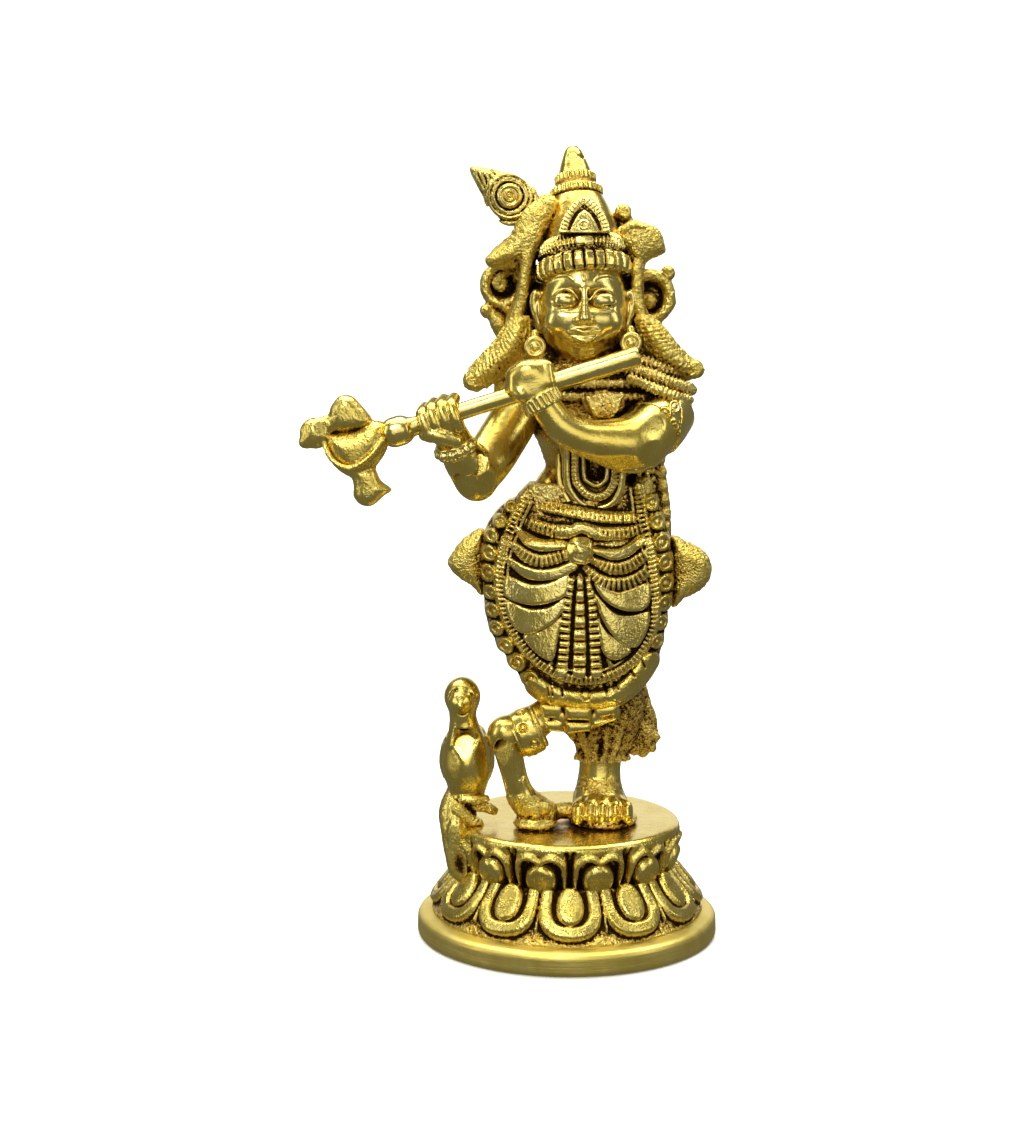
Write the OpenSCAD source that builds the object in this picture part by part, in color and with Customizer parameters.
// Cast brass statuette of a flute-playing deity on a two-tier lotus pedestal.
// Millimetres. +Z is up, the figure faces -Y, and the origin is the centre of the pedestal's underside.
// Every piece is a separate casting, brazed to its neighbours on a seat, a tenon or a rod.

/* [Pedestal] */
// Diameter of the turned foot plate
plate_d = 48; // [47:0.5:50]
// Height of the foot plate
plate_h = 3.9; // [3.5:0.1:4.2]
// Height of the seat, which the feet stand on
seat_h = 18.5; // [18:0.1:19]
// Number of petals in each lotus tier
petals = 12; // [10:1:14]

/* [Flute] */
// Radius of the flute's rod
flute_r = 1.45; // [1.3:0.05:1.6]

/* [Crown] */
// Backward lean of the crown, in degrees
crown_lean = 15; // [10:1:18]
// Sideways lean of the crown, in degrees
crown_tilt = 4.8; // [3:0.2:6]

/* [Hidden] */

$fn = 48;
round_sides = 24;    // sides of a skinned ring
spare = 0.01;        // how far a cutting tool passes a face that it shares

brass = "#c9a94a";
bright_brass = "#d8bb5a";
dark_brass = "#9c7f34";

// Pedestal
plate_r = plate_d / 2;
tier_z = 10.5;       // height at which the two lotus tiers meet
spigot_r = 9;        // round spigot that centres one tier in the one below it
spigot_h = 2;
petal_root = 2;      // how far a petal is sunk into its tier
tenon_h = 6;         // depth of a foot's tenon below the seat
petal_step = 360 / petals;
lower_slope = [[plate_r - 2.3, plate_h + 0.9], [16.5, tier_z]];
upper_slope = [[15.8, tier_z], [18.2, seat_h - 1.3]];
foot_tenon_r = 2;
small_tenon_r = 1.1;
standing_foot = [5.6, -3.4];     // centre of the standing foot's tenon
bent_foot = [-4.6, -6.4];        // centre of the bent foot's tenon
bird_foot = [-16.2, -3.6];       // centre of the bird's tenon
notch_at = [-19.8, -3.6];        // axis of the notch in the rim that the bird's tail hangs through
notch_r = 2.7;

// Figure
neck_r = 3.3;
neck = [3.2, -1.6];              // axis of the neck
neck_top = 94;
crown_r = 7.1;                   // radius of the crown's seat on the head
crown_clear = 0.6;               // gap between the crown and the cloth beside it
crown_at = [2.2, -2.2, 105.4];
wrist_left = [-4.2, -12.8, 85.6];
hand_left = [-6.3, -13, 88.2];
elbow_left = [9.2, -10.8, 79.2];
shoulder_left = [15.6, -2.6, 85.4];
hand_right = [-19.2, -13, 82.7];
wrist_right = [-17.2, -11.2, 78.0];
elbow_right = [-14.2, -7.8, 73.6];
shoulder_right = [-7.2, -1.6, 84.8];
flute_tip = [9.8, -13, 92.2];
flute_end = [-26.6, -13, 80.8];
parrot_at = [-33.4, -13, 79];     // middle of the parrot's body
flute_chamfer = 0.3;
veil_front = -2.4;
veil_back = 0;
thigh = [[1.2, -5.2, 34.8], [-4.6, -6.8, 34.2], [-9.0, -7.4, 35.0]];
thigh_radii = [3.4, 3.4, 2.8];
braid_radii = [[1.7, 1.2], [1.9, 1.4], [1.7, 1.4], [2.2, 1.6]];

// Sections of the trunk from hip to shoulder: centre x, centre y, height, half width, half depth
trunk = [
    [3.6, 0, 42, 9.0, 6.4], [2.4, 0, 49, 11.4, 7.4], [2.0, 0, 56, 12.0, 7.8],
    [2.6, 0, 63, 10.0, 6.8], [3.7, 0, 69, 8.2, 5.8], [4.1, 0, 75, 8.0, 5.8],
    [4.7, 0, 81, 10.4, 6.6], [4.9, 0, 85.5, 11.6, 6.4], [4.3, -0.6, 88.5, 8.0, 5.0],
    [3.2, -1.6, 90, 3.6, 3.6]
];
// Cloth wrapped round the standing leg, from its frayed edge up to the trunk
wrap = [
    [5.7, -1, 28.5, 3.9, 3.8], [6.2, -0.6, 32, 5.6, 4.8], [4.8, -0.2, 38, 8.2, 6.0], [3.6, 0, 42, 9.0, 6.4]
];
// Apron's outer surface
shield = [
    [2.4, 0, 36.4, 3.6, 8.2], [2.3, 0, 38.4, 7.8, 8.8], [2.0, 0, 42, 11.6, 9.2], [1.8, 0, 47, 14.2, 9.6],
    [1.6, 0, 53, 15.5, 10.0], [1.7, 0, 59, 15.4, 9.8], [2.2, 0, 65, 13.2, 8.6], [2.6, 0, 70.2, 10.4, 7.3]
];

// Collar from shoulder to neck
yoke = [
    [4.9, -0.4, 84.2, 13.0, 7.6], [4.9, -0.4, 86.2, 13.0, 7.6], [4.4, -0.9, 89.0, 9.0, 6.2],
    [3.6, -1.5, 90.6, 4.8, 4.9]
];
// Back of the hair from nape to crown
mane = [
    [3.6, 3.0, 91, 4.6, 2.8], [3.2, 3.0, 94, 6.6, 4.4], [2.8, 2.6, 99, 7.4, 5.8],
    [2.4, 2.6, 104, 7.2, 5.8], [2.0, 2.8, 108, 6.2, 4.6]
];

// ---------- building blocks ----------

function unit(v) = v / norm(v);

// Points of an ellipse about p, across the direction t: r[0] is its half size along the side and
// r[1] across it
function ring_at(p, t, r) =
    let (side = abs(unit(t)[1]) > 0.9 ? [1, 0, 0] : unit(cross(t, [0, 1, 0])), other = unit(cross(t, side)))
    [for (j = [0:round_sides - 1])
        let (a = 360 * j / round_sides) p + r[0] * cos(a) * side + r[1] * sin(a) * other];

// Direction of a route at point i
function heading(route, i) = unit(route[min(i + 1, len(route) - 1)] - route[max(i - 1, 0)]);

// A solid through rings of equal length, closed by its first and last ring
module skin(rings) {
    n = len(rings[0]);
    m = len(rings);
    polyhedron(
        [for (ring = rings) each ring],
        concat(
            [[for (j = [0:n - 1]) j]],
            [for (i = [0:m - 2], j = [0:n - 1])
                [i * n + j, (i + 1) * n + j, (i + 1) * n + (j + 1) % n]],
            [for (i = [0:m - 2], j = [0:n - 1])
                [i * n + j, (i + 1) * n + (j + 1) % n, i * n + (j + 1) % n]],
            [[for (j = [0:n - 1]) (m - 1) * n + n - 1 - j]]
        )
    );
}

// A solid through level ellipses, each [x, y, z, half width, half depth], lowest first
module loft(sections) {
    skin([for (s = sections) [for (j = [0:round_sides - 1])
        let (a = 360 * j / round_sides) [s[0] + s[3] * cos(a), s[1] + s[4] * sin(a), s[2]]]]);
}

// A round bar along a route, with a radius, or a pair of half sizes, at each point
module bar(route, radii) {
    skin([for (i = [0:len(route) - 1])
        ring_at(route[i], heading(route, i), is_list(radii[i]) ? radii[i] : [radii[i], radii[i]])]);
}

// Children turned so that their Z axis runs from a to b, with a at the origin
module along(a, b) {
    d = b - a;
    translate(a) rotate([0, acos(d[2] / norm(d)), atan2(d[1], d[0])]) children();
}

// Children placed on a sloping line of revolution, Z outward across the slope, at a share of its length
module on_slope(slope, share) {
    d = slope[1] - slope[0];
    at = slope[0] + share * d;
    translate([at[0], 0, at[1]]) rotate([0, 90 - atan2(-d[0], d[1]), 0]) children();
}

module crown_frame() {
    translate(crown_at) rotate([-crown_lean, -crown_tilt, 0]) children();
}

// The crown and the gap round it
module crown_space() crown_frame() cylinder(r = crown_r + crown_clear, h = 20);

// The neck, which the collar and the hair fit round
module neck_post(from, to) translate([neck[0], neck[1], from]) cylinder(r = neck_r, h = to - from);

module flute_bore() {
    along(flute_end, flute_tip) translate([0, 0, -6]) cylinder(r = flute_r, h = 60);
}

// A round tenon, or the socket for it, that goes down into the seat
module tenon(at, r) {
    translate([at[0], at[1], seat_h - tenon_h]) cylinder(r = r, h = tenon_h + 1);
}

module tail_notch() {
    translate([notch_at[0], notch_at[1], tier_z]) cylinder(r = notch_r, h = seat_h);
}

// ---------- pedestal ----------

module base_plate() color(brass) difference() {
    rotate_extrude($fn = 96) polygon([
        [0, 0], [plate_r - 0.5, 0], [plate_r, 0.5], [plate_r, plate_h - 0.7],
        [plate_r - 0.8, plate_h], [0, plate_h]
    ]);
    translate([0, 0, plate_h - spigot_h]) cylinder(r = spigot_r, h = spigot_h + 1);
}

// A ring of petals on a slope of revolution: a flat disc with a boss on it
module petal_ring(slope, turn, disc_share, disc_r, disc_h, boss_share, boss_r) {
    for (i = [0:petals - 1]) rotate([0, 0, (i + turn) * petal_step - 90]) {
        on_slope(slope, disc_share) translate([0, 0, -petal_root])
            cylinder(r = disc_r, h = petal_root + disc_h);
        on_slope(slope, boss_share) sphere(r = boss_r);
    }
}

module lower_lotus_tier() color(brass) {
    difference() {
        union() {
            rotate_extrude($fn = 96) polygon([
                [0, plate_h], [plate_r - 1.6, plate_h], lower_slope[0], lower_slope[1], [0, tier_z]
            ]);
            petal_ring(lower_slope, 0, 0.48, 3.4, 1, 0.5, 1.9);
        }
        cylinder(r = plate_r + 1, h = 2 * plate_h, center = true);
        translate([0, 0, tier_z - spigot_h]) cylinder(r = spigot_r, h = spigot_h + 1);
    }
    translate([0, 0, plate_h - spigot_h]) cylinder(r = spigot_r, h = spigot_h + 1);
}

module upper_lotus_tier() color(brass) {
    difference() {
        union() {
            rotate_extrude($fn = 96) polygon([
                [0, tier_z - spigot_h], [spigot_r, tier_z - spigot_h], [spigot_r, tier_z], upper_slope[0],
                upper_slope[1], [17.6, seat_h], [0, seat_h]
            ]);
            petal_ring(upper_slope, 0.5, 0.55, 3, 0.7, 0.42, 1.9);
        }
        tenon(standing_foot, foot_tenon_r);
        tenon(bent_foot, small_tenon_r);
        tenon(bird_foot, small_tenon_r);
        tail_notch();
    }
}

// ---------- legs and cloth ----------

module standing_leg() color(brass) {
    loft([
        [standing_foot[0], -3.4, seat_h, 5.2, 5.2], [standing_foot[0], -3.6, seat_h + 1.4, 5.0, 5.0],
        [5.5, -2.8, seat_h + 3, 4.2, 4.2], [5.5, -1.4, 23.5, 3.6, 3.5], [5.7, -1, 28.5, 3.6, 3.5]
    ]);
    tenon(standing_foot, foot_tenon_r);
}

module bent_leg() color(brass) {
    difference() {
        bar(
            concat(thigh, [
                [-10.6, -7.6, 33.2], [-8.9, -7, 28.4], [-7.2, -6.4, 24.2], [-6.0, -6.2, 21.6],
                [-4.6, -6.4, 20.2], [-2.6, -6.8, 20.2]
            ]),
            concat(thigh_radii, [2.3, 2.1, 1.8, 2.0, 1.8, 1.2])
        );
        loft(wrap);
        translate([0, 0, seat_h - 10]) cylinder(r = 20, h = 10);
    }
    tenon(bent_foot, small_tenon_r);
}

module thigh_solid() bar(thigh, thigh_radii);

module knee_cuff() color(brass) {
    difference() {
        bar([[-4.2, -6.7, 34.2], [-5.2, -6.9, 34.3], [-7.2, -7.2, 34.6], [-8.2, -7.3, 34.8]],
            [3.7, 4.1, 4.1, 3.7]);
        thigh_solid();
    }
}

module dhoti_wrap() color(dark_brass) loft(wrap);

module trunk_solid() loft(trunk);

module torso() color(brass) {
    trunk_solid();
    neck_post(89, neck_top);
}

module apron() color(brass) {
    difference() {
        loft(shield);
        trunk_solid();
        loft(wrap);
        thigh_solid();
        translate([-30, 2, 20]) cube([60, 20, 60]);
        waist_ring(spare);
    }
}

// The belt's outer form, made longer at both ends to cut with
module waist_ring(longer = 0) {
    loft([
        [2.5, 0, 64.2 - longer, 13.0, 9.0], [2.6, 0, 66.6, 12.4, 8.8], [2.8, 0, 70.3 + longer, 10.8, 7.8]
    ]);
}

module waist_belt() color(bright_brass) {
    difference() {
        waist_ring();
        trunk_solid();
    }
}

module belt_clasp() color(bright_brass) {
    translate([1.6, -9.2, 62.4]) rotate([90, 0, 0]) cylinder(r = 2, h = 1.8);
}

module apron_hem() color(brass) {
    difference() {
        bar([[-4.4, -5.4, 36.6], [-1.2, -7.4, 35.6], [3.2, -7.8, 35.2], [7.6, -5.6, 36.4]],
            [[1.6, 1.8], [2.4, 2.4], [2.4, 2.4], [1.4, 1.6]]);
        loft(wrap);
        loft(shield);
        thigh_solid();
    }
}

// A bow of cloth that stands out from the apron's side, as an outline of [x, z] points
module hip_bow(outline) {
    difference() {
        translate([0, 1.9, 0]) rotate([90, 0, 0]) linear_extrude(3.4) polygon(outline);
        trunk_solid();
        loft(shield);
    }
}

module hip_bow_left() color(brass) hip_bow([
    [12.6, 61.8], [17.4, 62.0], [21.2, 60.2], [22.6, 58.4], [21.6, 54.0], [18.0, 53.2], [12.6, 54.6]
]);

module hip_bow_right() color(brass) hip_bow([
    [-9.2, 61.6], [-14.2, 63.2], [-17.4, 61.6], [-18.9, 58.2], [-17.6, 55.2], [-14.6, 54.4], [-9.2, 55.4]
]);

module hanging_sash() color(dark_brass) {
    difference() {
        bar([[9.8, 1.0, 40], [11.2, 0.8, 36], [11.8, 0.4, 32.6], [12.0, 0.2, 30], [12.2, 0.2, 28.6]],
            [[2.4, 1.6], [2.8, 1.6], [2.6, 1.6], [2.0, 1.4], [1.0, 0.8]]);
        loft(wrap);
        trunk_solid();
        loft(shield);
    }
}

// Strings of flowers that hang down the figure's left side, from armpit to hip
module side_garland() color(brass) {
    difference() {
        bar([[12.8, -1.0, 75.6], [12.9, -1.7, 72.4], [13.9, -2.1, 68.4], [15.3, -2.1, 64.7]],
            [[1.5, 1.6], [1.8, 2.0], [1.7, 2.0], [1.4, 1.6]]);
        trunk_solid();
        loft(shield);
        waist_ring();
        left_arm_bar();
    }
}

module collar() color(bright_brass) {
    difference() {
        loft(yoke);
        trunk_solid();
        left_arm_bar();
        right_arm_bar();
        neck_post(80, 100);
    }
}

module long_garland() color(bright_brass) {
    difference() {
        bar(
            [[0.6, -5.6, 80], [0.4, -6.2, 74.6], [1.2, -6.6, 70.6], [4, -6.8, 68.6], [7, -6.4, 70.8],
                [7.8, -6.0, 74.8], [7.6, -5.6, 80]],
            [1.2, 1.2, 1.3, 1.4, 1.3, 1.2, 1.2]
        );
        trunk_solid();
        waist_ring();
        left_arm_bar();
    }
}

// ---------- arms ----------

module left_arm_bar() {
    bar([shoulder_left, [13.6, -7.2, 81.4], elbow_left, [5.0, -12.4, 79.4], [0.2, -13, 80.6],
        [-2.8, -13, 83.2], wrist_left, hand_left + [-0.4, 0, 1.4]],
        [4.3, 4.3, 4.2, 3.7, 2.9, 2.5, 2.2, 2.9]);
}

module right_arm_bar() {
    bar([shoulder_right, [-11.2, -5.2, 78.2], elbow_right + [0, 0, -0.2], [-15.8, -9.8, 74.6],
        wrist_right, [-18.8, -12.6, 80.8], hand_right + [-1.2, -0.2, 2.6]],
        [3.6, 3.4, 3.6, 3.3, 2.4, 3.6, 2.6]);
}

module left_arm() color(brass) difference() {
    left_arm_bar();
    trunk_solid();
    flute_bore();
}

module right_arm() color(brass) difference() {
    right_arm_bar();
    trunk_solid();
    flute_bore();
}

module left_armband() color(bright_brass) {
    difference() {
        bar([[15.1, -4.2, 84.2], [13.4, -7.0, 81.4]], [5.0, 5.0]);
        left_arm_bar();
        trunk_solid();
        loft(yoke);
    }
}

module left_bracelet() color(bright_brass) {
    difference() {
        bar([[-3.5, -13, 84.2], [-4.8, -12.9, 86.4]], [2.9, 3.0]);
        left_arm_bar();
        flute_bore();
    }
}

module right_bracelet() color(bright_brass) {
    difference() {
        bar([[-16.7, -10.8, 76.8], [-17.7, -11.7, 79.2]], [3.2, 3.2]);
        right_arm_bar();
    }
}

// ---------- flute and parrot ----------

module flute() color(bright_brass) {
    rod = norm(flute_tip - flute_end) - flute_chamfer;
    along(flute_end, flute_tip) {
        cylinder(r = flute_r, h = rod);
        translate([0, 0, rod]) cylinder(r1 = flute_r, r2 = flute_r - flute_chamfer, h = flute_chamfer);
        translate([0, 0, -1.6]) cylinder(r = 2.5, h = 1.6);
        cylinder(r1 = 2.1, r2 = flute_r, h = 3);
    }
}

module flute_parrot() color(brass) {
    difference() {
        translate(parrot_at) {
            hull() {
                translate([2.8, 0, 0.6]) sphere(r = 2.7, $fn = 20);
                translate([-1.4, 0, -0.6]) sphere(r = 2.4, $fn = 20);
            }
            hull() {
                translate([-1.4, 0, 0.8]) sphere(r = 1.8, $fn = 20);
                translate([-4.6, 0, 1.8]) sphere(r = 2.4, $fn = 20);
            }
            translate([-7.5, 0, 1.1]) rotate([0, 60, 0]) cylinder(r1 = 0.5, r2 = 1.2, h = 2);
            hull() {
                translate([1.8, -0.4, 1.8]) sphere(r = 1.6, $fn = 16);
                translate([-0.8, -0.4, 5.6]) sphere(r = 1.8, $fn = 16);
            }
            hull() {
                translate([1.8, -0.4, -1.8]) sphere(r = 1.8, $fn = 16);
                translate([2.4, -0.4, -8]) sphere(r = 1.3, $fn = 16);
                translate([5.0, -0.4, -7.4]) sphere(r = 1.1, $fn = 16);
            }
        }
        along(flute_end, flute_tip) translate([0, 0, -1.6]) cylinder(r = 2.6, h = 4);
    }
}

// ---------- head and crown ----------

module head_solid() {
    loft([
        [3.1, -6.4, 91.4, 2.0, 2.2], [3.0, -5.6, 92.6, 4.2, 4.2], [2.9, -4.6, 95, 5.9, 5.9],
        [2.7, -3.6, 98.6, 6.7, 7.0], [2.5, -3.0, 102.4, 6.8, 7.4], [2.3, -2.6, 105.6, 6.4, 7.0],
        [2.2, -2.2, 108.2, 5.4, 5.8]
    ]);
}

module head() color(bright_brass) {
    difference() {
        union() {
            head_solid();
            bar([[2.6, -10.6, 100.6], [2.7, -11.2, 97.6], [2.7, -10.2, 96.9]], [0.7, 1.1, 0.9]);
            ears();
        }
        neck_post(85, neck_top);
        crown_frame() cylinder(r = crown_r, h = 12);
    }
}

module ears() {
    for (x = [-4.8, 9.4]) translate([x, -2.6, 98]) cylinder(r = 1.2, h = 4);
}

module earring_balls() {
    for (at = [[-5.2, 93.2], [9.6, 94.2]]) translate([at[0], veil_front - 1.6, at[1]]) sphere(r = 1.6);
}

module earrings() color(bright_brass) earring_balls();

module band_shape() rotate_extrude() polygon([
    [0, 0], [crown_r, 0], [7.6, 0.6], [7.6, 2.8], [7, 3.4], [6.9, 3.8], [6.9, 5.4], [6.3, 6], [0, 6]
]);

module cap_shape() rotate_extrude() polygon([
    [0, 6], [6, 6], [5, 8.6], [4.4, 9.4], [4.6, 9.8], [4.6, 10.6], [4, 11], [4.1, 11.4], [4.1, 12.2],
    [3.6, 12.8], [1.8, 18.1], [1, 19.3], [0, 19.4]
]);

module crown_band() color(bright_brass) crown_frame() band_shape();
module crown_cap() color(brass) crown_frame() cap_shape();

module crown_plaque() color(bright_brass) crown_frame() {
    difference() {
        translate([0.4, -6.3, 6]) rotate([78, 0, 0]) linear_extrude(1.4) polygon([
            [-4, 0], [4, 0], [3.6, 2.4], [2.4, 4.6], [0, 6.6], [-2.4, 4.6], [-3.6, 2.4]
        ]);
        band_shape();
        cap_shape();
    }
}

module peacock_feather() color(bright_brass) difference() {
    translate([-9.2, 1, 115.6]) rotate([90, 0, 0]) linear_extrude(2, center = true) rotate(-38) polygon([
        [-8.2, 0], [-5.6, 2.6], [-2.4, 3.9], [1.2, 3.8], [3.8, 2.4], [6.6, 1.8], [6.6, -1.8], [3.6, -2.6],
        [1.2, -3.8], [-2.4, -3.9], [-5.6, -2.6]
    ]);
    crown_frame() {
        band_shape();
        cap_shape();
    }
}

// ---------- hair, veil and scrolls ----------

module hair_solid() loft(mane);

module hair_back() color(dark_brass) {
    difference() {
        hair_solid();
        head_solid();
        neck_post(80, 110);
        crown_space();
    }
}

// A flat sheet of cloth in the plane of the face: an outline of [x, z] points, cut clear of the head
// and the hair
module sheet_of(outline) {
    difference() {
        translate([0, veil_back, 0]) rotate([90, 0, 0])
            linear_extrude(veil_back - veil_front) polygon(outline);
        head_solid();
        hair_solid();
        ears();
        crown_space();
    }
}

module veil_right() color(dark_brass) sheet_of([
    [-3.8, 113], [-6.6, 110.8], [-12.8, 107.2], [-12.0, 105.6], [-8.2, 105.2], [-7.8, 102],
    [-8.6, 96], [-9.8, 92.6], [-5.6, 92.6], [-4.4, 96], [-4.2, 108], [-2.4, 111]
]);

module veil_left() color(dark_brass) sheet_of([
    [8.0, 111.4], [11.8, 111.8], [14.8, 109.4], [15.0, 106.8], [11.4, 105.2], [10.9, 102],
    [11.2, 96.4], [12.6, 92.6], [9.8, 92.6], [8.7, 97], [8.2, 106]
]);

// A plaited lock that comes out from under the veil and lies on the shoulder
module braid(route) difference() {
    bar(route, braid_radii);
    left_arm_bar();
    right_arm_bar();
    trunk_solid();
    loft(yoke);
    head_solid();
    translate([-30, veil_front, 80]) cube([60, 10, 20]);
    earring_balls();
}

module braid_right() color(brass) braid([
    [-6.4, -3.4, 94.4], [-8.6, -3.6, 91.6], [-11.6, -3.6, 89], [-14.4, -3.6, 86.8]
]);

module braid_left() color(brass) braid([
    [10.8, -3.4, 94.4], [13.4, -3.6, 92], [16.6, -3.6, 89.8], [19.6, -3.4, 88.4]
]);

// An open curl of cast wire in the plane of the face
module curl(at, r, wire, from, turn) {
    translate(at) rotate([90, 0, 0]) rotate(from)
        rotate_extrude(angle = turn) translate([r, 0]) circle(r = wire, $fn = 20);
}

// The thin backing disc of a curl
module curl_web(at, r) translate(at) rotate([90, 0, 0]) cylinder(r = r, h = 1, center = true);

module scroll_right() color(brass) difference() {
    union() {
        curl([-10.7, 3.2, 103.2], 2.6, 0.9, 60, 270);
        translate([-10.7, 3.2, 103.2]) rotate([90, 0, 0]) cylinder(r = 1.0, h = 1.6, center = true);
        curl_web([-10.7, 4.4, 103.2], 3.1);
        translate([-12.2, 3.2, 98.6]) sphere(r = 1.6);
        curl([-9.8, 3.2, 97.6], 2.2, 0.9, 150, 210);
        curl_web([-9.8, 4.4, 97.6], 2.8);
        translate([-7.2, 4.4, 100]) cube([8.4, 1, 9], center = true);
    }
    hair_solid();
}

module scroll_left() color(brass) difference() {
    union() {
        curl([12.8, 3.2, 101.2], 3.6, 1.0, -120, 240);
        translate([12.2, 3.2, 101]) sphere(r = 1.7);
        curl_web([12.6, 4.6, 101.2], 4.2);
        translate([15.2, 3.2, 105.2]) sphere(r = 1.4);
        translate([8.8, 3.4, 113.6]) sphere(r = 1.5);
        translate([10.4, 4.6, 109]) rotate([0, -14, 0]) cube([1.8, 1, 10], center = true);
    }
    hair_solid();
}

// ---------- bird on the pedestal ----------

module bird_body() {
    loft([
        [-16.4, -3.6, seat_h, 2.0, 1.8], [-16.2, -3.5, 21, 2.8, 2.8], [-16, -3.2, 24.4, 3.7, 4.0],
        [-16, -3.0, 28.4, 3.8, 4.0], [-16.2, -3.6, 32, 2.8, 3.0], [-16.5, -4.0, 35.2, 2.1, 2.2],
        [-16.8, -4.2, 37.4, 2.6, 2.6], [-16.8, -4.2, 39.8, 2.5, 2.5], [-16.8, -4.2, 41.6, 1.2, 1.2]
    ]);
}

module standing_bird() color(brass) {
    bird_body();
    tenon(bird_foot, small_tenon_r);
    along([-16.8, -8, 37.4], [-16.8, -4.2, 38.2]) cylinder(r1 = 0.4, r2 = 1.4, h = 3);
}

module bird_tail() color(brass) difference() {
    bar([[-18.2, -3.4, 22], [-19.4, -3.8, 18.6], [-19.5, -3.8, 15], [-18.5, -3.6, 11.6]],
        [[1.1, 1.4], [1.7, 1.9], [1.5, 1.7], [0.8, 1.0]]);
    bird_body();
    difference() {
        cylinder(r = plate_r, h = seat_h);
        tail_notch();
    }
}

base_plate();
lower_lotus_tier();
upper_lotus_tier();
standing_leg();
bent_leg();
knee_cuff();
dhoti_wrap();
torso();
apron();
waist_belt();
belt_clasp();
apron_hem();
hip_bow_left();
hip_bow_right();
hanging_sash();
side_garland();
collar();
long_garland();
left_arm();
right_arm();
left_armband();
left_bracelet();
right_bracelet();
flute();
flute_parrot();
head();
earrings();
crown_band();
crown_cap();
crown_plaque();
peacock_feather();
hair_back();
veil_left();
veil_right();
braid_left();
braid_right();
scroll_left();
scroll_right();
standing_bird();
bird_tail();
